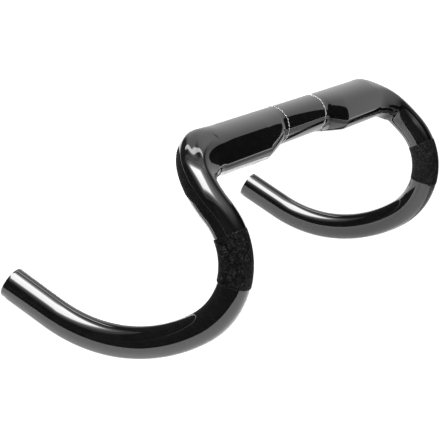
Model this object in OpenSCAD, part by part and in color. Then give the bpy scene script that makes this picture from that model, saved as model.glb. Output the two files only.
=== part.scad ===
// Drop handlebar for a road bicycle: round stem clamp zone, broad aero tops, round hooks.
// Frame: origin at the middle of the stem clamp zone, +X rider's right, +Y forward, +Z up. Millimetres.

/* [Overall] */
// spacing of the two drop ends, centre to centre
width_cc = 440; // [360:5:480]

/* [Stem clamp zone] */
// diameter of the round zone the stem clamps on
clamp_d = 31.8; // [25.4:0.1:35]
// length of the round zone between the two steps
clamp_len = 86; // [50:1:110]
// spacing of the two printed index rings
ring_spacing = 82; // [40:1:100]
// width of one index ring
ring_w = 1.4; // [0.6:0.1:3]
// depth of the groove that holds the ring paint
ring_depth = 0.15; // [0.05:0.05:0.4]
// wall of the round zone
clamp_wall = 2.6; // [1.5:0.1:5]
// diameter of the spigots bonded into the tops
spigot_d = 21; // [16:0.5:24]
// length of each spigot beyond the round zone
spigot_len = 16; // [8:1:30]

/* [Aero tops] */
// distance from the middle where the front edge starts to step out
shoulder_start = 46; // [45:1:70]
// distance from the middle where the tops reach full chord
wing_full = 86; // [60:1:120]
// distance from the middle where the rear of the tops starts to turn round
top_fade = 145; // [120:1:165]
// wall of the tops
wing_wall = 2.0; // [1:0.1:4]
// height of the corner tube axis above the clamp axis
corner_rise = 4; // [0:0.5:10]
// set-back of the corner tube axis behind the clamp axis
corner_back = 2; // [0:0.5:10]

/* [Hooks] */
// outside diameter of the round hook tube
tube_d = 23.8; // [22:0.1:26]
// wall of the hook tube
tube_wall = 1.8; // [1:0.1:3]
// centreline radius of the corner between tops and ramp
corner_r = 50; // [30:1:70]
// downward pitch of the ramp where the hook is joined on
ramp_pitch = 22; // [0:1:35]
// centreline radius of the front bend
bend1_r = 54; // [40:1:80]
// angle of the front bend
bend1_a = 101; // [60:1:130]
// centreline radius of the lower bend
bend2_r = 116; // [60:1:160]
// angle of the lower bend
bend2_a = 61; // [20:1:90]
// straight length at the drop end
drop_straight = 40; // [10:1:90]

/* [Joints and coverings] */
// length each bonding sleeve reaches into the tops and into the hook, as an angle
sleeve_a = 16; // [8:1:25]
// wall of the bonding sleeves
sleeve_wall = 1.5; // [1:0.1:3]
// angle along the front bend where the anti-slip covering starts
grip_a0 = 19; // [5:1:40]
// angle along the front bend where the anti-slip covering ends
grip_a1 = 57; // [45:1:100]
// thickness of the anti-slip covering
grip_t = 0.4; // [0.2:0.1:1]

/* [Hidden] */
$fn = 96;

half_cc = width_cc / 2;
clamp_r = clamp_d / 2;
half_clamp = clamp_len / 2;
tube_r = tube_d / 2;
bore_r = tube_r - tube_wall;
wing_x1 = half_cc - corner_r;              // where the straight tops end
rp = ramp_pitch;
ramp_y0 = -corner_back + corner_r * cos(rp);
ramp_z0 = corner_rise - corner_r * sin(rp);
glue = 0.1;
seam = 0.01;                               // hairline step where one bend joins the next
lap = 0.05;                                // and how far the two lap, degrees or mm

// ---------- outline of the tops: tangent arcs [facing angle from, facing angle to, radius] ----------
// facing angle 0 is forward, 90 up, 180 the rear edge, 270 the underside; the outline starts at the tip
tip = [21.40, -9.92];
arcs = [[-46, -23, 3], [-23, 21, 11.6], [21, 53, 27.4], [53, 134, 19.9],
        [134, 200, 12], [200, 255, 13.1], [255, 285, 51.8], [285, 314, 3]];
neck_r = clamp_r - 0.05;
pts_n = 36;

function ease(t) = let (s = min(1, max(0, t))) s * s * (3 - 2 * s);
function part(t) = min(1, max(0, t));
function turn(a) = let (b = a + 180) b - 360 * floor(b / 360) - 180;   // into -180 .. 180
function bump(d) = abs(d) < 1 ? 0.5 * (1 + cos(180 * d)) : 0;
function walk(th, i = 0) = i >= len(arcs) || th <= arcs[i][0] ? [0, 0]
    : let (a = arcs[i][0], e = min(th, arcs[i][1]), r = arcs[i][2])
      r * [cos(e) - cos(a), sin(e) - sin(a)] + walk(th, i + 1);
function wing_point(th) = tip + walk(th);

// share of the full outline at distance x from the middle; low at the front it starts with a step
step_share = 0.06;
step_at = -40;
step_w = 50;
step_len = 1.6;
function grow(x, th) =
    let (t = part((x - shoulder_start) / (wing_full - shoulder_start)),
         g = (1 - pow(1 - t, 1.2)) * ease(t / 0.25),
         st = step_share * bump(turn(th - step_at) / step_w) * ease((x - shoulder_start) / step_len))
    g + (1 - g) * st;
// 1 on the front face, 0 on the rear
function front_share(f) = let (d = turn(f)) ease((115 - d) / 40) * ease((d + 100) / 40);
// share of the round hook section on the rear side
fade_len = 45;
function top_share(x) = ease((x - top_fade) / fade_len);
// depth taken off the upper outer quarter where the tops turn into the ramp
flat_depth = 2.4;
flat_at = 125;
flat_w = 45;
flat_x = 160;
flat_len = 72;
function flat(x, f) =
    flat_depth * bump(turn(f - flat_at) / flat_w) * pow(sin(180 * part((x - flat_x) / flat_len)), 2);

// point of the straight tops at distance x, facing angle th, inset w
function straight_point(x, th, w) =
    let (n = [cos(th), sin(th)], g = grow(x, th), r = top_share(x) * (1 - front_share(th + rp)),
         p = neck_r * n * (1 - g) + wing_point(th) * g,
         q = [-corner_back, corner_rise] + tube_r * n,
         m = p * (1 - r) + q * r - (w + flat(x, th + rp)) * n)
    [x, m[0], m[1]];

// point of the corner at angle a: the front face runs on straight until it meets the ramp
round_by = 60;
meet_p = 2.6;
function corner_point(a, th, inside) =
    let (p = wing_point(th), dy = p[0] + corner_back, dz = p[1] - corner_rise,
         u0 = dy * cos(rp) - dz * sin(rp), w0 = dy * sin(rp) + dz * cos(rp),
         f = th + rp, ut = tube_r * cos(f), wt = tube_r * sin(f),
         front = front_share(f), x = wing_x1 + corner_r * a * PI / 180,
         r = ease(a / round_by) * front + top_share(x) * (1 - front),
         base = (1 - r) * (corner_r - u0) + r * (corner_r - ut),
         run = (corner_r - u0) / max(cos(a), 0.000001),
         ramp = (corner_r - ut) / max(sin(a), 0.000001),
         meet = pow(pow(run, -meet_p) + pow(ramp, -meet_p), -1 / meet_p),
         wall = inside ? wing_wall + (tube_wall - wing_wall) * ease(a / round_by) : 0,
         cut = flat(x, f) + wall,
         rad = base + (meet - base) * front * (1 - ease((a - 58) / 16)) + cut * cos(f),
         w = (1 - r) * w0 + r * wt - cut * sin(f))
    [wing_x1 + rad * sin(a),
     ramp_y0 - rad * cos(a) * cos(rp) + w * sin(rp),
     ramp_z0 + rad * cos(a) * sin(rp) + w * cos(rp)];

// stations: straight part by x, corner part by angle
straight_x = [half_clamp, 46, 46.8, 47.6, 49.5, 52, 55, 58.5, 63, 69, 77, 86, 110, 135, 148, 158, 164, wing_x1];
corner_steps = 12;
function facing(i) = -46 + 360 * i / pts_n;
function wing_loop(k, inside) =
    k < len(straight_x)
    ? [for (i = [0:pts_n - 1]) straight_point(straight_x[k], facing(i), inside ? wing_wall : 0)]
    : let (a = 90 * (k - len(straight_x) + 1) / corner_steps)
      [for (i = [0:pts_n - 1]) corner_point(a, facing(i), inside)];

wing_n = len(straight_x) + corner_steps;

// thin shell from a stack of closed loops: outside, inside and two flat rims
module wing_shell() {
    n = pts_n;
    m = wing_n;
    outer = [for (k = [0:m - 1]) each wing_loop(k, false)];
    inner = [for (k = [0:m - 1]) each wing_loop(k, true)];
    off = m * n;
    faces = concat(
        [for (k = [0:m - 2], i = [0:n - 1]) let (j = (i + 1) % n)
            [k * n + i, (k + 1) * n + i, (k + 1) * n + j]],
        [for (k = [0:m - 2], i = [0:n - 1]) let (j = (i + 1) % n)
            [k * n + i, (k + 1) * n + j, k * n + j]],
        [for (k = [0:m - 2], i = [0:n - 1]) let (j = (i + 1) % n)
            [off + k * n + i, off + (k + 1) * n + j, off + (k + 1) * n + i]],
        [for (k = [0:m - 2], i = [0:n - 1]) let (j = (i + 1) % n)
            [off + k * n + i, off + k * n + j, off + (k + 1) * n + j]],
        [for (i = [0:n - 1]) let (j = (i + 1) % n) [i, j, off + j]],
        [for (i = [0:n - 1]) let (j = (i + 1) % n) [i, off + j, off + i]],
        [for (i = [0:n - 1]) let (j = (i + 1) % n, e = (m - 1) * n) [e + i, off + e + j, e + j]],
        [for (i = [0:n - 1]) let (j = (i + 1) % n, e = (m - 1) * n) [e + i, off + e + i, off + e + j]]);
    polyhedron(points = concat(outer, inner), faces = faces, convexity = 8);
}

// ---------- round pieces of the hook ----------
module ring2d(ro, ri) { difference() { circle(r = ro); circle(r = ri); } }

// front bend: an arc of tube from angle a0 to a1 past the joint
module bend1(ro, ri, a0, a1) {
    translate([half_cc, ramp_y0, ramp_z0])
        rotate([-rp, 0, 0])
            translate([0, 0, -bend1_r])
                rotate([0, 90, 0])
                    rotate([0, 0, 180 - a1])
                        rotate_extrude(angle = a1 - a0)
                            translate([bend1_r, 0]) ring2d(ro, ri);
}
// end of the front bend, then the lower bend and the straight end
th1 = rp + bend1_a;
th2 = th1 + bend2_a;
c1y = ramp_y0 - bend1_r * sin(rp);
c1z = ramp_z0 - bend1_r * cos(rp);
b1y = c1y + bend1_r * sin(th1);
b1z = c1z + bend1_r * cos(th1);
c2y = b1y - bend2_r * sin(th1);
c2z = b1z - bend2_r * cos(th1);
b2y = c2y + bend2_r * sin(th2);
b2z = c2z + bend2_r * cos(th2);
module bend2(ro, ri, a0, a1) {
    translate([half_cc, c2y, c2z])
        rotate([-th1, 0, 0])
            rotate([0, 90, 0])
                rotate([0, 0, 180 - a1])
                    rotate_extrude(angle = a1 - a0)
                        translate([bend2_r, 0]) ring2d(ro, ri);
}
module straight_end(ro, ri, l) {
    translate([half_cc, b2y, b2z]) rotate([-90 - th2, 0, 0])
        linear_extrude(height = l) rotate([0, 0, -90]) ring2d(ro, ri);
}
// arc of tube in the corner, measured back from the joint
module corner_arc(ro, ri, a0, a1) {
    translate([wing_x1, ramp_y0, ramp_z0])
        rotate([-rp, 0, 0])
            rotate([0, 0, -a1])
                rotate_extrude(angle = a1 - a0)
                    translate([corner_r, 0]) rotate([0, 0, -90]) ring2d(ro, ri);
}

module hook_right() {
    color([0.03, 0.03, 0.035]) {
        bend1(tube_r, bore_r, 0, bend1_a);
        bend2(tube_r - seam, bore_r + seam, -lap, bend2_a + lap);
        straight_end(tube_r, bore_r, drop_straight);
    }
}
module hook_left() { color([0.03, 0.03, 0.035]) mirror([1, 0, 0]) hook_right(); }

module wing_right() { color([0.03, 0.03, 0.035]) wing_shell(); }
module wing_left() { color([0.03, 0.03, 0.035]) mirror([1, 0, 0]) wing_shell(); }

// round clamp zone with a spigot at each end, hollow all the way through
module clamp_section() {
    color([0.04, 0.04, 0.045])
    difference() {
        union() {
            rotate([0, 90, 0]) cylinder(r = clamp_r, h = clamp_len, center = true);
            rotate([0, 90, 0])
                cylinder(d = spigot_d, h = clamp_len + 2 * spigot_len, center = true);
        }
        rotate([0, 90, 0]) cylinder(d = spigot_d - 4, h = 400, center = true);
        rotate([0, 90, 0])
            cylinder(r = clamp_r - clamp_wall, h = clamp_len - 8, center = true);
        for (s = [-1, 1]) translate([s * ring_spacing / 2, 0, 0]) rotate([0, 90, 0])
            difference() {
                cylinder(r = clamp_r + 1, h = ring_w, center = true);
                cylinder(r = clamp_r - ring_depth, h = ring_w + 1, center = true);
            }
    }
}

module index_ring_right() {
    color([0.9, 0.9, 0.9])
    translate([ring_spacing / 2, 0, 0]) rotate([0, 90, 0]) difference() {
        cylinder(r = clamp_r, h = ring_w, center = true);
        cylinder(r = clamp_r - ring_depth, h = ring_w + 1, center = true);
    }
}
module index_ring_left() { color([0.9, 0.9, 0.9]) mirror([1, 0, 0]) index_ring_right(); }

// internal bonding sleeve across the joint between tops and hook
module sleeve_right() {
    color([0.2, 0.2, 0.22]) {
        corner_arc(bore_r - glue, bore_r - glue - sleeve_wall, 0, sleeve_a);
        bend1(bore_r - glue + seam, bore_r - glue - sleeve_wall - seam, -lap, sleeve_a);
    }
}
module sleeve_left() { color([0.2, 0.2, 0.22]) mirror([1, 0, 0]) sleeve_right(); }

// anti-slip covering round the lever clamp zone of the hook
module grip_cover_right() {
    color([0.12, 0.12, 0.12]) bend1(tube_r + grip_t, tube_r, grip_a0, grip_a1);
}
module grip_cover_left() { color([0.12, 0.12, 0.12]) mirror([1, 0, 0]) grip_cover_right(); }

clamp_section();
wing_right();
wing_left();
sleeve_right();
sleeve_left();
hook_right();
hook_left();
grip_cover_right();
grip_cover_left();
index_ring_right();
index_ring_left();
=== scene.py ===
"""Drop handlebar: aero tops, round hooks, stem clamp zone with two graduation rings."""

import math
import random

import bpy
import bmesh
from mathutils import Matrix, Vector


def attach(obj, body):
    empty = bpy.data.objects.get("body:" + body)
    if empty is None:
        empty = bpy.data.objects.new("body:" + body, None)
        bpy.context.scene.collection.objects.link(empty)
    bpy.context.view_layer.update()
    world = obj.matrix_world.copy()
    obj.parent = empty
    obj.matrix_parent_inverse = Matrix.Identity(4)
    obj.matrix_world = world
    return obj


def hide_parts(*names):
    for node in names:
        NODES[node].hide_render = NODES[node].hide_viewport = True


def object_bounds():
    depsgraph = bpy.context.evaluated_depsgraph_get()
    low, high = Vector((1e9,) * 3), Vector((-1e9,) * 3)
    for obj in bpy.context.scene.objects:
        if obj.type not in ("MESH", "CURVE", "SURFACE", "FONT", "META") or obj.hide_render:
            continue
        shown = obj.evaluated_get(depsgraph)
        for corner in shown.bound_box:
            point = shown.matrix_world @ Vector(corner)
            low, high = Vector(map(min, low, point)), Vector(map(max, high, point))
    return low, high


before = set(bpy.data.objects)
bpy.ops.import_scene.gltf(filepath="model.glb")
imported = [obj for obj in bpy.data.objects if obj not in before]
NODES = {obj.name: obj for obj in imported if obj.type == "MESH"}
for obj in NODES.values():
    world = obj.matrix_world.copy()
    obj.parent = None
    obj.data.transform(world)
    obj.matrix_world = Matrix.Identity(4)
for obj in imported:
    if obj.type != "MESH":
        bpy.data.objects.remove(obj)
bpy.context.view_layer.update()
MM = 0.001

# ------------------------------------------------------------------ the part's own dimensions (mm)
WIDTH = 440.0
CLAMP_R = 15.9
HALF_CLAMP = 43.0
CLAMP_WALL = 2.6
SPIGOT_R, SPIGOT_LEN, SPIGOT_BORE = 10.5, 16.0, 8.5
# how far the spigot's bore reaches back under the clamp zone, and the spigot's chamfer
SPIGOT_ROOT, SPIGOT_CHAMFER = 4.0, 0.5
# rounding of the clamp zone's edge: (distance from the edge, depth)
CLAMP_EDGE = ((0.2, 0.0), (0.05, 0.04), (0.0, 0.1))
RING_X, RING_W = 41.0, 1.4
SHOULDER_START, WING_FULL, WING_WALL = 46.0, 86.0, 2.0
CORNER_RISE, CORNER_BACK, CORNER_R = 4.0, 2.0, 50.0
TUBE_R, TUBE_WALL = 11.9, 1.8
PITCH = math.radians(22)
BEND1_R, BEND1_A = 54.0, math.radians(101)
BEND2_R, BEND2_A = 116.0, math.radians(61)
DROP_STRAIGHT = 40.0
GRIP_A0, GRIP_A1, GRIP_T = math.radians(19), math.radians(57), 0.4
# outline of the tops as tangent arcs: facing angle from, facing angle to, radius (0 forward, 90 up)
TIP = (21.40, -9.92)
ARCS = ((-46, -23, 3.0), (-23, 21, 11.6), (21, 53, 27.4), (53, 134, 19.9),
        (134, 200, 12.0), (200, 255, 13.1), (255, 285, 51.8), (285, 314, 3.0))
NECK_R = 15.85
# how fast the shoulder grows: exponent, and the share of its length that starts softly
GROW_POWER, GROW_START = 1.2, 0.25
STEP_SHARE, STEP_AT, STEP_W, STEP_LEN = 0.06, -40.0, 50.0, 1.6
TOP_FADE, FADE_LEN = 145.0, 45.0
FLAT, FLAT_AT, FLAT_W, FLAT_X, FLAT_LEN = 2.4, 125.0, 45.0, 160.0, 72.0
# the front face: its upper and lower end as facing angles, and the angle over which it fades
FRONT_TOP, FRONT_LOW, FRONT_FADE = 115.0, -100.0, 40.0
# corner: angle at which the front is round, sharpness of the crossing of top and ramp, and
# the corner angle at which that crossing starts to fade, with the angle it takes
ROUND_BY, CORNER_P = 60.0, 2.6
MEET_TO, MEET_FADE = 58.0, 16.0
# rounded rim of the open drop end: outer radius, inner radius, halfway point (depth, distance)
RIM_OUT, RIM_IN, RIM_MID = 0.4, 0.3, (0.12, 0.28)

HALF = WIDTH / 2
WING_X1 = HALF - CORNER_R
RAMP_Y0 = -CORNER_BACK + CORNER_R * math.cos(PITCH)
RAMP_Z0 = CORNER_RISE - CORNER_R * math.sin(PITCH)
TH1 = PITCH + BEND1_A
TH2 = TH1 + BEND2_A
C1 = (RAMP_Y0 - BEND1_R * math.sin(PITCH), RAMP_Z0 - BEND1_R * math.cos(PITCH))
B1 = (C1[0] + BEND1_R * math.sin(TH1), C1[1] + BEND1_R * math.cos(TH1))
C2 = (B1[0] - BEND2_R * math.sin(TH1), B1[1] - BEND2_R * math.cos(TH1))
B2 = (C2[0] + BEND2_R * math.sin(TH2), C2[1] + BEND2_R * math.cos(TH2))

# ------------------------------------------------------------------ how finely the meshes are divided
AROUND = 180
# in mm: from the middle of the clamp zone, and from its edge to where the shoulder starts
CLAMP_STATION = 20.0
LAND_STATIONS = (0.0, 1.2, 2.2)
STEP_STATIONS = 6
SHOULDER_SPACING, TOP_SPACING, SHORTEST_GAP = 0.8, 3.0, 0.5
CORNER_STATIONS = 72
BEND1_STATIONS, BEND2_STATIONS = 72, 64
# in mm: from the end of the lower bend along the straight drop
DROP_STATIONS = (4, 12, 20, 28, 34, 38, DROP_STRAIGHT - RIM_OUT)
# rows of the grit covering; its inside keeps every tenth one
GRIT_AROUND, GRIT_ALONG, GRIT_INNER_SKIP = 260, 230, 10

# grit covering: seed, film under the grains, body of the layer (mm), rows over which its ends thin out
GRIT_SEED, GRIT_FILM, GRIT_BODY, GRIT_END_ROWS = 31, 0.06, 0.10, 3.0
# graduation rings: dashes around, share of the pitch where each one starts and ends, every n-th is long,
# half width of the short ones as a share of the ring's width, how far the ink sinks in and stands out (mm)
INDEX_MARKS, INDEX_FROM, INDEX_TO, INDEX_LONG_EVERY = 84, 0.10, 0.78, 7
INDEX_SHORT, INDEX_SUNK, INDEX_PROUD, INDEX_SEGMENTS = 0.30, 0.05, 0.04, 3


# ------------------------------------------------------------------ mesh helpers
def make(name, verts, faces, sharp_deg=28):
    """Smooth-shaded object from points in millimetres; edges turned by more than sharp_deg stay sharp."""
    me = bpy.data.meshes.new(name)
    me.from_pydata([Vector(v) * MM for v in verts], [], faces)
    bm = bmesh.new()
    bm.from_mesh(me)
    bmesh.ops.recalc_face_normals(bm, faces=bm.faces)
    for e in bm.edges:
        if len(e.link_faces) == 2:
            e.smooth = e.calc_face_angle(0) < math.radians(sharp_deg)
    for f in bm.faces:
        f.smooth = True
    bm.to_mesh(me)
    bm.free()
    me.update()
    ob = bpy.data.objects.new(name, me)
    bpy.context.scene.collection.objects.link(ob)
    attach(ob, "root")
    return ob


def skin(loops):
    """Closed skin over a stack of equal loops; the last loop joins the first."""
    n = len(loops[0])
    m = len(loops)
    verts = [p for loop in loops for p in loop]
    faces = []
    for k in range(m):
        a, b = k * n, ((k + 1) % m) * n
        for i in range(n):
            j = (i + 1) % n
            faces.append((a + i, b + i, b + j, a + j))
    return verts, faces


def mirrored(loops):
    """The same loops on the rider's left."""
    return [[(-x, y, z) for x, y, z in loop] for loop in loops]


def ease(t):
    """Smooth step from 0 to 1."""
    s = min(1.0, max(0.0, t))
    return s * s * (3 - 2 * s)


def turned(degrees):
    """The same direction as an angle between -180 and 180 degrees."""
    return (degrees + 180) % 360 - 180


# ------------------------------------------------------------------ tops
def wing_point(th):
    """Full outline of the tops at facing angle th (degrees, -46 to 314)."""
    y, z = TIP
    for a, b, r in ARCS:
        e = min(th, b)
        if e <= a:
            break
        y += r * (math.cos(math.radians(e)) - math.cos(math.radians(a)))
        z += r * (math.sin(math.radians(e)) - math.sin(math.radians(a)))
    return y, z


def grow(x, th):
    """Share of the full outline at distance x from the middle; low at the front it starts with a step."""
    t = min(1.0, max(0.0, (x - SHOULDER_START) / (WING_FULL - SHOULDER_START)))
    g = (1 - (1 - t) ** GROW_POWER) * ease(t / GROW_START)
    d = turned(th - STEP_AT)
    if abs(d) < STEP_W:
        step = STEP_SHARE * 0.5 * (1 + math.cos(math.pi * d / STEP_W))
        g += (1 - g) * step * ease((x - SHOULDER_START) / STEP_LEN)
    return g


def front_share(facing):
    """1 on the front face, 0 on the rear; facing in degrees from the ramp's forward direction."""
    d = turned(facing)
    return ease((FRONT_TOP - d) / FRONT_FADE) * ease((d - FRONT_LOW) / FRONT_FADE)


def flat(x, facing):
    """Depth taken off the upper outer quarter where the tops turn into the ramp."""
    d = turned(facing - FLAT_AT) / FLAT_W
    if abs(d) >= 1:
        return 0.0
    q = min(1.0, max(0.0, (x - FLAT_X) / FLAT_LEN))
    return FLAT * 0.5 * (1 + math.cos(math.pi * d)) * math.sin(math.pi * q) ** 2


def straight_point(x, th, wall):
    """Point of the straight tops at distance x and facing angle th, wall under the outer skin."""
    c, s = math.cos(math.radians(th)), math.sin(math.radians(th))
    g = grow(x, th)
    w = wing_point(th)
    r = ease((x - TOP_FADE) / FADE_LEN) * (1 - front_share(th + math.degrees(PITCH)))
    y = (NECK_R * c * (1 - g) + w[0] * g) * (1 - r) + (-CORNER_BACK + TUBE_R * c) * r
    z = (NECK_R * s * (1 - g) + w[1] * g) * (1 - r) + (CORNER_RISE + TUBE_R * s) * r
    cut = wall + flat(x, th + math.degrees(PITCH))
    return x, y - cut * c, z - cut * s


def corner_point(a, th, inside):
    """Point of the corner at angle a (radians): the front face runs on straight and meets the ramp."""
    y, z = wing_point(th)
    dy, dz = y + CORNER_BACK, z - CORNER_RISE
    u0 = dy * math.cos(PITCH) - dz * math.sin(PITCH)
    w0 = dy * math.sin(PITCH) + dz * math.cos(PITCH)
    f = math.radians(th) + PITCH
    ut, wt = TUBE_R * math.cos(f), TUBE_R * math.sin(f)
    deg = math.degrees(a)
    front = front_share(math.degrees(f))
    top = ease((WING_X1 + CORNER_R * a - TOP_FADE) / FADE_LEN)
    r = ease(deg / ROUND_BY) * front + top * (1 - front)
    rad = (1 - r) * (CORNER_R - u0) + r * (CORNER_R - ut)
    run = (CORNER_R - u0) / max(math.cos(a), 1e-6)
    ramp_run = (CORNER_R - ut) / max(math.sin(a), 1e-6)
    meet = (run ** -CORNER_P + ramp_run ** -CORNER_P) ** (-1 / CORNER_P)
    rad += (meet - rad) * front * (1 - ease((deg - MEET_TO) / MEET_FADE))
    w = (1 - r) * w0 + r * wt
    cut = flat(WING_X1 + CORNER_R * a, math.degrees(f))
    if inside:
        cut += WING_WALL + (TUBE_WALL - WING_WALL) * ease(deg / ROUND_BY)
    rad += cut * math.cos(f)
    w -= cut * math.sin(f)
    return (WING_X1 + rad * math.sin(a),
            RAMP_Y0 - rad * math.cos(a) * math.cos(PITCH) + w * math.sin(PITCH),
            RAMP_Z0 + rad * math.cos(a) * math.sin(PITCH) + w * math.cos(PITCH))


def wing_loops(inside):
    """Loops of one skin of the top, from the clamp zone to the end of the corner."""
    wall = WING_WALL if inside else 0.0
    xs = [HALF_CLAMP + d for d in LAND_STATIONS]
    xs += [SHOULDER_START + STEP_LEN * k / STEP_STATIONS for k in range(STEP_STATIONS)]
    x = SHOULDER_START + STEP_LEN
    while x < WING_FULL:
        xs.append(x)
        x += SHOULDER_SPACING
    while x < WING_X1 - SHORTEST_GAP:
        xs.append(x)
        x += TOP_SPACING
    xs.append(WING_X1)
    angles = [ARCS[0][0] + 360 * i / AROUND for i in range(AROUND)]
    loops = [[straight_point(x, th, wall) for th in angles] for x in xs]
    for k in range(1, CORNER_STATIONS + 1):
        a = math.pi / 2 * k / CORNER_STATIONS
        loops.append([corner_point(a, th, inside) for th in angles])
    return loops


def build_wing(name, side, node):
    """Hollow top of one side."""
    loops = wing_loops(False) + wing_loops(True)[::-1]
    if side < 0:
        loops = mirrored(loops)
    ob = make(name, *skin(loops))
    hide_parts(node)
    return ob


# ------------------------------------------------------------------ hooks
def bend1_at(th):
    """Point (y, z) of the middle line in the upper bend, where its tangent is turned by th."""
    return C1[0] + BEND1_R * math.sin(th), C1[1] + BEND1_R * math.cos(th)


def hook_axis():
    """Stations (y, z, tangent angle) along the hook's middle line, from the joint to the drop end."""
    out = []
    for k in range(BEND1_STATIONS + 1):
        th = PITCH + BEND1_A * k / BEND1_STATIONS
        out.append((*bend1_at(th), th))
    for k in range(1, BEND2_STATIONS + 1):
        th = TH1 + BEND2_A * k / BEND2_STATIONS
        out.append((C2[0] + BEND2_R * math.sin(th), C2[1] + BEND2_R * math.cos(th), th))
    dy, dz = math.cos(TH2), -math.sin(TH2)
    for d in DROP_STATIONS:
        out.append((B2[0] + dy * d, B2[1] + dz * d, TH2))
    return out


def ring_at(x0, station, radii, shift=0.0):
    """Loop round the middle line, square to it, with one radius for each point, moved on by shift."""
    y0, z0, th = station
    dy, dz = math.cos(th), -math.sin(th)
    ny, nz = math.sin(th), math.cos(th)
    out = []
    for i, r in enumerate(radii):
        a = 2 * math.pi * i / len(radii)
        u, v = r * math.cos(a), r * math.sin(a)
        out.append((x0 + u, y0 + ny * v + dy * shift, z0 + nz * v + dz * shift))
    return out


def build_hook(name, side, node):
    """Hollow hook of one side with a rounded rim at the open drop end."""
    axis = hook_axis()
    x0 = side * HALF
    bore = TUBE_R - TUBE_WALL
    rim = ((TUBE_R - RIM_MID[0], RIM_MID[1]), (TUBE_R - RIM_OUT, RIM_OUT),
           (bore + RIM_IN, RIM_OUT), (bore, RIM_OUT - RIM_IN))
    loops = [ring_at(x0, station, [TUBE_R] * AROUND) for station in axis]
    loops += [ring_at(x0, axis[-1], [r] * AROUND, shift) for r, shift in rim]
    loops += [ring_at(x0, station, [bore] * AROUND) for station in axis[:-1][::-1]]
    ob = make(name, *skin(loops))
    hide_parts(node)
    return ob


def build_grip(name, side, node):
    """Grit covering: a thin sleeve whose outside is broken up by fine grains."""
    rng = random.Random(GRIT_SEED + side)
    x0 = side * HALF
    grain = [[rng.random() for _ in range(GRIT_AROUND)] for _ in range(GRIT_ALONG + 1)]
    angles = [PITCH + GRIP_A0 + (GRIP_A1 - GRIP_A0) * k / GRIT_ALONG for k in range(GRIT_ALONG + 1)]
    stations = [(*bend1_at(th), th) for th in angles]
    relief = GRIP_T - GRIT_FILM - GRIT_BODY
    loops = []
    for k, station in enumerate(stations):
        edge = min(1.0, min(k, GRIT_ALONG - k) / GRIT_END_ROWS)
        radii = [TUBE_R + GRIT_FILM + edge * (GRIT_BODY + relief * g ** 2) for g in grain[k]]
        loops.append(ring_at(x0, station, radii))
    loops += [ring_at(x0, station, [TUBE_R] * GRIT_AROUND) for station in stations[::-GRIT_INNER_SKIP]]
    ob = make(name, *skin(loops), sharp_deg=60)
    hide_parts(node)
    return ob


# ------------------------------------------------------------------ clamp zone
def build_clamp():
    """Clamp zone with its two spigots, turned round the X axis from one profile of (distance, radius)."""
    edge = [(HALF_CLAMP - d, CLAMP_R - depth) for d, depth in CLAMP_EDGE]
    root = HALF_CLAMP - SPIGOT_ROOT
    end = HALF_CLAMP + SPIGOT_LEN
    half = [(0, CLAMP_R), (CLAMP_STATION, CLAMP_R), (root, CLAMP_R), *edge, (HALF_CLAMP, SPIGOT_R),
            (end - SPIGOT_CHAMFER, SPIGOT_R), (end, SPIGOT_R - SPIGOT_CHAMFER), (end, SPIGOT_BORE),
            (root, SPIGOT_BORE), (root, CLAMP_R - CLAMP_WALL), (0, CLAMP_R - CLAMP_WALL)]
    other = [(-x, r) for x, r in half]
    loops = []
    for x, r in half + other[::-1][1:-1]:
        loops.append([(x, r * math.cos(2 * math.pi * i / AROUND), r * math.sin(2 * math.pi * i / AROUND))
                      for i in range(AROUND)])
    ob = make("clamp_zone", *skin(loops))
    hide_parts("clamp_section")
    return ob


def build_index(name, side, node):
    """Graduation ring: one row of printed dashes, a hair proud of the lacquer, every seventh one longer."""
    verts, faces = [], []
    low, high = CLAMP_R - INDEX_SUNK, CLAMP_R + INDEX_PROUD
    for q in range(INDEX_MARKS):
        a0 = 2 * math.pi * (q + INDEX_FROM) / INDEX_MARKS
        a1 = 2 * math.pi * (q + INDEX_TO) / INDEX_MARKS
        half_width = RING_W / 2 if q % INDEX_LONG_EVERY == 0 else RING_W * INDEX_SHORT
        xa, xb = side * RING_X - half_width, side * RING_X + half_width
        base = len(verts)
        for j in range(INDEX_SEGMENTS + 1):
            a = a0 + (a1 - a0) * j / INDEX_SEGMENTS
            c, s = math.cos(a), math.sin(a)
            verts += [(x, r * c, r * s) for x, r in ((xa, low), (xa, high), (xb, high), (xb, low))]
        for j in range(INDEX_SEGMENTS):
            b = base + j * 4
            for e in range(4):
                f = (e + 1) % 4
                faces.append((b + e, b + f, b + 4 + f, b + 4 + e))
        last = base + INDEX_SEGMENTS * 4
        faces.append((base, base + 1, base + 2, base + 3))
        faces.append((last + 3, last + 2, last + 1, last))
    ob = make(name, verts, faces, sharp_deg=50)
    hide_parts(node)
    return ob


# ------------------------------------------------------------------ material helpers
def link(nt, src, dst):
    nt.links.new(src, dst)


def add(nt, kind, **vals):
    """New node; each value goes to the input of that name, or else to the setting of that name."""
    n = nt.nodes.new(kind)
    for k, v in vals.items():
        if k in n.inputs:
            n.inputs[k].default_value = v
        else:
            setattr(n, k, v)
    return n


def empty_material(name):
    """Material that holds only its output node."""
    m = bpy.data.materials.new(name)
    m.use_nodes = True
    m.node_tree.nodes.clear()
    return m, m.node_tree, add(m.node_tree, "ShaderNodeOutputMaterial")


def new_material(name):
    """Principled material, its nodes, its shader and the object coordinates."""
    m, nt, out = empty_material(name)
    b = add(nt, "ShaderNodeBsdfPrincipled")
    link(nt, b.outputs[0], out.inputs[0])
    return m, nt, b, add(nt, "ShaderNodeTexCoord").outputs["Object"]


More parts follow.
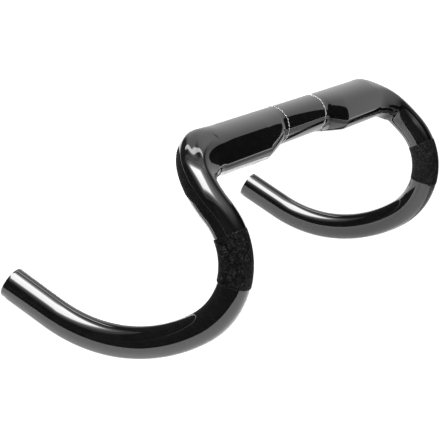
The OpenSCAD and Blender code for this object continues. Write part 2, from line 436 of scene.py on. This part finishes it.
def ramp(nt, value, stops):
    """Colour ramp with the given (position, grey or colour) stops."""
    n = nt.nodes.new("ShaderNodeValToRGB")
    while len(n.color_ramp.elements) < len(stops):
        n.color_ramp.elements.new(0.5)
    for e, (pos, col) in zip(n.color_ramp.elements, stops):
        e.position = pos
        e.color = (*((col,) * 3 if isinstance(col, (int, float)) else col), 1)
    link(nt, value, n.inputs["Fac"])
    return n.outputs["Color"]


def noise(nt, coord, scale, detail=4.0, rough=0.5, warp=0.0):
    n = add(nt, "ShaderNodeTexNoise", Scale=scale, Detail=detail, Roughness=rough, Distortion=warp)
    link(nt, coord, n.inputs["Vector"])
    return n.outputs["Fac"]


def cells(nt, coord, scale):
    """Small cells, each with its own random colour."""
    n = add(nt, "ShaderNodeTexVoronoi", Scale=scale)
    link(nt, coord, n.inputs["Vector"])
    return n.outputs["Color"]


def multiplied(nt, one, other):
    """Two colours multiplied."""
    n = add(nt, "ShaderNodeMix", data_type="RGBA", blend_type="MULTIPLY")
    n.inputs[0].default_value = 1.0
    link(nt, one, n.inputs[6])
    link(nt, other, n.inputs[7])
    return n.outputs[2]


def bump(nt, height, strength, distance, target):
    """Bump from height (distance in metres) on the shader's normal input target."""
    n = add(nt, "ShaderNodeBump", Strength=strength, Distance=distance)
    link(nt, height, n.inputs["Height"])
    link(nt, n.outputs["Normal"], target)


# ------------------------------------------------------------------ materials
def lacquered_carbon(name, base=0.0014, coat_rough=0.03, weave=0.35):
    """Clear-coated carbon: chopped-strand flecks deep under gloss, orange peel and fine dust on top."""
    m, nt, b, co = new_material(name)
    # strand flecks: stretched cells, each with its own shade
    turn = add(nt, "ShaderNodeMapping", Rotation=(0.4, 0.9, 0.75), Scale=(1.0, 0.22, 0.8))
    link(nt, co, turn.inputs["Vector"])
    strands = cells(nt, turn.outputs["Vector"], scale=520.0)
    flecks = ramp(nt, strands, ((0.2, base * (1 - weave)), (0.9, base * (1 + weave))))
    cloud = ramp(nt, noise(nt, co, scale=35.0, detail=5.0), ((0.35, 0.8), (0.7, 1.25)))
    # dust specks caught in the lacquer
    dust = ramp(nt, noise(nt, co, scale=1500.0, detail=2.0), ((0.745, 0.0), (0.80, 1.0)))
    speck = add(nt, "ShaderNodeMix", data_type="RGBA")
    link(nt, dust, speck.inputs[0])
    link(nt, multiplied(nt, flecks, cloud), speck.inputs[6])
    speck.inputs[7].default_value = (0.012, 0.012, 0.013, 1)
    link(nt, speck.outputs[2], b.inputs["Base Color"])
    wear = ramp(nt, noise(nt, co, scale=140.0, detail=6.0, rough=0.6), ((0.3, 0.36), (0.8, 0.48)))
    link(nt, wear, b.inputs["Roughness"])
    b.inputs["Specular IOR Level"].default_value = 0.0
    b.inputs["Coat Weight"].default_value = 1.0
    b.inputs["Coat Roughness"].default_value = coat_rough
    b.inputs["Coat IOR"].default_value = 1.5
    # orange peel in the clear coat
    bump(nt, noise(nt, co, scale=260.0, detail=2.0), 0.06, 0.00006, b.inputs["Coat Normal"])
    return m


def grit_material():
    """Coarse matte grit: dark binder with paler grains and pores."""
    m, nt, b, co = new_material("grip_grit")
    shade = ramp(nt, cells(nt, co, scale=900.0), ((0.15, 0.001), (0.6, 0.003), (0.95, 0.018)))
    patch = ramp(nt, noise(nt, co, scale=240.0, detail=5.0, rough=0.65), ((0.40, 0.3), (0.62, 1.5)))
    link(nt, multiplied(nt, shade, patch), b.inputs["Base Color"])
    rough = ramp(nt, noise(nt, co, scale=700.0, detail=3.0), ((0.3, 0.45), (0.7, 0.8)))
    link(nt, rough, b.inputs["Roughness"])
    b.inputs["Specular IOR Level"].default_value = 0.10
    bump(nt, noise(nt, co, scale=1100.0, detail=3.0, rough=0.7), 0.8, 0.0002, b.inputs["Normal"])
    return m


def ink_material():
    """Screen-printed white ink, thin in places."""
    m, nt, b, co = new_material("index_ink")
    thin = ramp(nt, noise(nt, co, scale=900.0, detail=4.0, rough=0.7),
                ((0.34, 0.16), (0.52, 0.70), (0.8, 0.85)))
    link(nt, thin, b.inputs["Base Color"])
    rough = ramp(nt, noise(nt, co, scale=400.0, detail=3.0), ((0.3, 0.35), (0.7, 0.6)))
    link(nt, rough, b.inputs["Roughness"])
    return m


def sleeve_material():
    """Raw moulded composite with cured adhesive smears."""
    m, nt, b, co = new_material("bond_sleeve")
    smear = ramp(nt, noise(nt, co, scale=90.0, detail=6.0, rough=0.6, warp=0.8),
                 ((0.35, (0.02, 0.02, 0.022)), (0.62, (0.06, 0.06, 0.055)), (0.8, (0.16, 0.15, 0.11))))
    link(nt, smear, b.inputs["Base Color"])
    rough = ramp(nt, noise(nt, co, scale=300.0, detail=4.0), ((0.3, 0.45), (0.7, 0.8)))
    link(nt, rough, b.inputs["Roughness"])
    bump(nt, noise(nt, co, scale=500.0, detail=4.0), 0.4, 0.0002, b.inputs["Normal"])
    return m


GLOSS = lacquered_carbon("carbon_gloss")
CLAMP_MAT = lacquered_carbon("clamp_gloss", base=0.0018, coat_rough=0.035, weave=0.25)
GRIT = grit_material()
INK = ink_material()
BOND = sleeve_material()


def paint(ob, mat):
    ob.data.materials.clear()
    ob.data.materials.append(mat)


# ------------------------------------------------------------------ the pieces
for side, tag in ((1, "right"), (-1, "left")):
    paint(build_wing(f"top_{tag}", side, f"wing_{tag}"), GLOSS)
    paint(build_hook(f"drop_{tag}", side, f"hook_{tag}"), GLOSS)
    paint(build_grip(f"grit_{tag}", side, f"grip_cover_{tag}"), GRIT)
    paint(build_index(f"index_{tag}", side, f"index_ring_{tag}"), INK)
    # the hidden bonding sleeve stays the CAD one and only gets its finish here
    sleeve = NODES[f"sleeve_{tag}"]
    for material_slot in sleeve.material_slots:
        material_slot.material = BOND
    if not sleeve.material_slots:
        sleeve.data.materials.append(BOND)
paint(build_clamp(), CLAMP_MAT)

# ------------------------------------------------------------------ camera
# it stands at CAMERA_PLACE (metres) and faces against this direction, turned by the roll (degrees)
CAMERA_AZIMUTH, CAMERA_ELEVATION, CAMERA_ROLL = 17.09705, 20.46074, 24.45900
CAMERA_PLACE = (1.203977, 0.351807, 0.364928)
SENSOR_WIDTH, LENS = 36.0, 132.43983
NEAREST, FARTHEST = 0.01, 50.0

scene = bpy.context.scene


def camera_pose(azimuth, elevation, roll, place):
    """Pose at place that faces against the given direction, with its right side raised by roll degrees."""
    a, e, t = math.radians(azimuth), math.radians(elevation), math.radians(roll)
    back = Vector((math.cos(e) * math.cos(a), math.cos(e) * math.sin(a), math.sin(e)))
    level = Vector((-math.sin(a), math.cos(a), 0))
    right = level * math.cos(t) + back.cross(level) * math.sin(t)
    turn = Matrix((right, back.cross(right), back)).transposed()
    return Matrix.Translation(place) @ turn.to_4x4()


cam_data = bpy.data.cameras.new("camera")
cam = bpy.data.objects.new("camera", cam_data)
scene.collection.objects.link(cam)
cam.matrix_world = camera_pose(CAMERA_AZIMUTH, CAMERA_ELEVATION, CAMERA_ROLL, CAMERA_PLACE)
cam_data.sensor_fit = "HORIZONTAL"
cam_data.sensor_width = SENSOR_WIDTH
cam_data.lens = LENS
cam_data.clip_start = NEAREST
cam_data.clip_end = FARTHEST
scene.camera = cam
scene.view_settings.view_transform = "Standard"

# ------------------------------------------------------------------ studio: what the reflections see
# white wall on the far side (-X); towards +Y it gets dimmer and its upper edge comes down.
# Bearings are degrees from -X, positive towards +Y, and heights are degrees above the horizon
WALL_STARTS, WALL_GLOW = (-52, -38), 1.1
WALL_DIMS = (((-22, 12), 0.45), ((28, 55), 0.57))
WALL_TOP, WALL_SINKS, WALL_SINK = (60, 46), (-22, -8), 18.0
WALL_FOOT, WALL_FOOT_SHARE = (-14, 10), 0.8
# ceiling: even up to the first height, then brighter up to straight overhead
CEILING_HEIGHTS, CEILING_LOW, CEILING_HIGH = (42, 90), 0.14, 3.0
# narrow sloping strip light: rise per degree of bearing, ends, lower and upper edge, brightness
STRIP_SLOPE, STRIP_ENDS = 0.25, ((-64, -58), (-18, -24))
STRIP_EDGES, STRIP_GLOW = ((50, 51.5), (56.5, 55)), 7.0
# brightness of the plain surroundings and of the floor to the camera
PLAIN_ROOM, PLAIN_FLOOR = 1.2, 1.15
# key light: direction, then layers of one overhead softbox whose edges fall off gently
# (name, distance, width, height, radiance); at equal distances the layers would hide each other
KEY_AZIMUTH, KEY_ELEVATION = -52, 64
KEY_LAYERS = (("core", 3.90, 2.6, 2.0, 9.0), ("mid", 3.94, 3.0, 2.4, 7.0), ("rim", 3.98, 3.4, 2.9, 3.0),
              ("halo", 4.02, 4.2, 3.9, 1.2), ("spill", 4.06, 6.0, 5.5, 0.6))
# The places and glow of the cards below, of the room above and of the key light were set so that
# the reflections in the lacquer resemble the picture's, seen from the picture's own camera.
# dark card behind the bar: place, outline (y, z) and glow
FLAG_X, FLAG_GLOW = -0.265, 0.025
FLAG_OUTLINE = ((0.095, -0.003), (0.60, -0.003), (0.60, 0.45), (0.15, 0.45), (0.13, 0.28),
                (0.075, 0.20), (0.066, 0.165), (0.060, 0.125), (0.075, 0.085), (0.092, 0.04))
# cards that lie just over the floor and make parts of it brighter or darker in reflections:
# (name, glow, height over the lowest cards, outline (x, y))
CARD_LIFT = 0.0006
TABLES = (
    ("table_right", 0.13, 0.0, ((0.25, -0.10), (4, -0.10), (4, 4), (0.62, 1.1), (0.42, 0.42),
                                (0.385, 0.25), (0.33, 0.12), (0.27, 0.03))),
    ("table_front", 0.12, 0.0, ((-4, 1.9), (-4, 4), (4, 4), (0.62, 1.1), (0.0, 1.5))),
    ("table_back", 0.14, 0.0002, ((0.02, -0.10), (-0.30, -0.45), (-0.8, -3), (4, -3), (4, -0.10),
                                  (0.25, -0.10))),
    ("table_left", 0.42, 0.0001, ((-0.62, -0.10), (-0.62, 1.9), (-4, 1.9), (-4, -0.10))),
    ("table_mid", 0.85, 0.0001, ((-0.29, -0.20), (-0.27, 1.9), (-0.62, 1.9), (-0.62, -0.20))),
)
FLOOR_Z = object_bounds()[0].z
FLOOR_HALF = 8.0
FLOOR_GREYS, FLOOR_GLOW = (0.52, 0.57), 1.1
WHITE = (1, 1, 1, 1)


def math_node(nt, op, a, b=None):
    """Math node on numbers or node outputs."""
    n = add(nt, "ShaderNodeMath", operation=op)
    for i, v in enumerate((a, b)):
        if isinstance(v, (int, float)):
            n.inputs[i].default_value = v
        elif v is not None:
            link(nt, v, n.inputs[i])
    return n.outputs[0]


def step_between(nt, value, span, low=0.0, high=1.0):
    """Smooth step: low at the first end of span, high at the second."""
    n = add(nt, "ShaderNodeMapRange", interpolation_type="SMOOTHSTEP")
    link(nt, value, n.inputs["Value"])
    n.inputs["From Min"].default_value = span[0]
    n.inputs["From Max"].default_value = span[1]
    n.inputs["To Min"].default_value = low
    n.inputs["To Max"].default_value = high
    return n.outputs["Result"]


def camera_sees(nt, plain, real, out):
    """The camera sees the shader plain; everything else sees real."""
    path = add(nt, "ShaderNodeLightPath")
    mix = add(nt, "ShaderNodeMixShader")
    link(nt, path.outputs["Is Camera Ray"], mix.inputs[0])
    link(nt, real, mix.inputs[1])
    link(nt, plain, mix.inputs[2])
    link(nt, mix.outputs[0], out.inputs[0])


def build_world():
    """Pale room that lights the part and shows in the lacquer; to the camera it is plain white."""
    world = bpy.data.worlds.new("studio")
    scene.world = world
    world.use_nodes = True
    nt = world.node_tree
    nt.nodes.clear()
    out = add(nt, "ShaderNodeOutputWorld")
    tc = add(nt, "ShaderNodeTexCoord")
    direction = add(nt, "ShaderNodeVectorMath", operation="NORMALIZE")
    link(nt, tc.outputs["Generated"], direction.inputs[0])
    axes = add(nt, "ShaderNodeSeparateXYZ")
    link(nt, direction.outputs[0], axes.inputs[0])
    x, y, z = axes.outputs
    height = math_node(nt, "MULTIPLY", math_node(nt, "ARCSINE", z), math.degrees(1))
    bearing = math_node(nt, "ARCTAN2", y, math_node(nt, "MULTIPLY", x, -1.0))
    bearing = math_node(nt, "MULTIPLY", bearing, math.degrees(1))
    # far wall
    wall = step_between(nt, bearing, WALL_STARTS, 0.0, WALL_GLOW)
    for span, dim in WALL_DIMS:
        wall = math_node(nt, "SUBTRACT", wall, step_between(nt, bearing, span, 0.0, dim))
    raised = math_node(nt, "ADD", height, step_between(nt, bearing, WALL_SINKS, 0.0, WALL_SINK))
    wall = math_node(nt, "MULTIPLY", wall, step_between(nt, raised, WALL_TOP))
    wall = math_node(nt, "MULTIPLY", wall, step_between(nt, height, WALL_FOOT, WALL_FOOT_SHARE))
    wall = math_node(nt, "MAXIMUM", wall, 0.0)
    ceiling = step_between(nt, height, CEILING_HEIGHTS, CEILING_LOW, CEILING_HIGH)
    total = math_node(nt, "ADD", wall, ceiling)
    # narrow sloping strip light
    sloped = math_node(nt, "SUBTRACT", height, math_node(nt, "MULTIPLY", bearing, STRIP_SLOPE))
    strip = step_between(nt, bearing, STRIP_ENDS[0])
    strip = math_node(nt, "MULTIPLY", strip, step_between(nt, bearing, STRIP_ENDS[1]))
    for span in STRIP_EDGES:
        strip = math_node(nt, "MULTIPLY", strip, step_between(nt, sloped, span))
    total = math_node(nt, "ADD", total, math_node(nt, "MULTIPLY", strip, STRIP_GLOW))
    room = add(nt, "ShaderNodeBackground")
    link(nt, total, room.inputs["Strength"])
    plain = add(nt, "ShaderNodeBackground", Color=WHITE, Strength=PLAIN_ROOM)
    camera_sees(nt, plain.outputs[0], room.outputs[0], out)


def aim(azimuth, elevation, away):
    """Point in the given direction from the middle of the part (degrees, metres)."""
    a, e = math.radians(azimuth), math.radians(elevation)
    return (away * math.cos(e) * math.cos(a), away * math.cos(e) * math.sin(a), away * math.sin(e))


def softbox(name, place, size_x, size_y, radiance):
    """Rectangular soft light that looks at the middle of the part."""
    light = bpy.data.lights.new(name, "AREA")
    light.shape = "RECTANGLE"
    light.size, light.size_y = size_x, size_y
    light.energy = radiance * size_x * size_y * math.pi
    ob = bpy.data.objects.new(name, light)
    scene.collection.objects.link(ob)
    ob.location = place
    ob.rotation_mode = "QUATERNION"
    ob.rotation_quaternion = (-Vector(place)).to_track_quat("-Z", "Y")
    ob.visible_camera = False


def sheet(name, corners, mat):
    """Flat object with one face."""
    me = bpy.data.meshes.new(name)
    me.from_pydata(corners, [], [tuple(range(len(corners)))])
    me.materials.append(mat)
    ob = bpy.data.objects.new(name, me)
    scene.collection.objects.link(ob)
    return ob


def card(name, corners, glow):
    """Flat studio card that only shows in reflections."""
    mat, nt, out = empty_material(name)
    link(nt, add(nt, "ShaderNodeEmission", Strength=glow).outputs[0], out.inputs[0])
    ob = sheet(name, corners, mat)
    ob.visible_camera = False
    ob.visible_diffuse = False
    ob.visible_shadow = False
    ob.visible_transmission = False
    ob.visible_volume_scatter = False


def floor_material():
    """Pale paper that glows a little; to the camera it is lit to plain white."""
    mat, nt, b, co = new_material("floor_paper")
    tone = ramp(nt, noise(nt, co, scale=60.0, detail=6.0), ((0.0, FLOOR_GREYS[0]), (1.0, FLOOR_GREYS[1])))
    link(nt, tone, b.inputs["Base Color"])
    b.inputs["Roughness"].default_value = 0.9
    b.inputs["Emission Color"].default_value = WHITE
    b.inputs["Emission Strength"].default_value = FLOOR_GLOW
    plain = add(nt, "ShaderNodeEmission", Strength=PLAIN_FLOOR)
    camera_sees(nt, plain.outputs[0], b.outputs[0], nt.nodes["Material Output"])
    return mat


build_world()
for tag, away, size_x, size_y, radiance in KEY_LAYERS:
    softbox(f"key_{tag}", aim(KEY_AZIMUTH, KEY_ELEVATION, away), size_x, size_y, radiance)
card("flag", [(FLAG_X, y, z) for y, z in FLAG_OUTLINE], FLAG_GLOW)
for name, glow, lift, outline in TABLES:
    card(name, [(x, y, FLOOR_Z + CARD_LIFT + lift) for x, y in outline], glow)
floor_corners = [(x * FLOOR_HALF, y * FLOOR_HALF, FLOOR_Z) for x, y in ((-1, -1), (1, -1), (1, 1), (-1, 1))]
floor = sheet("floor", floor_corners, floor_material())
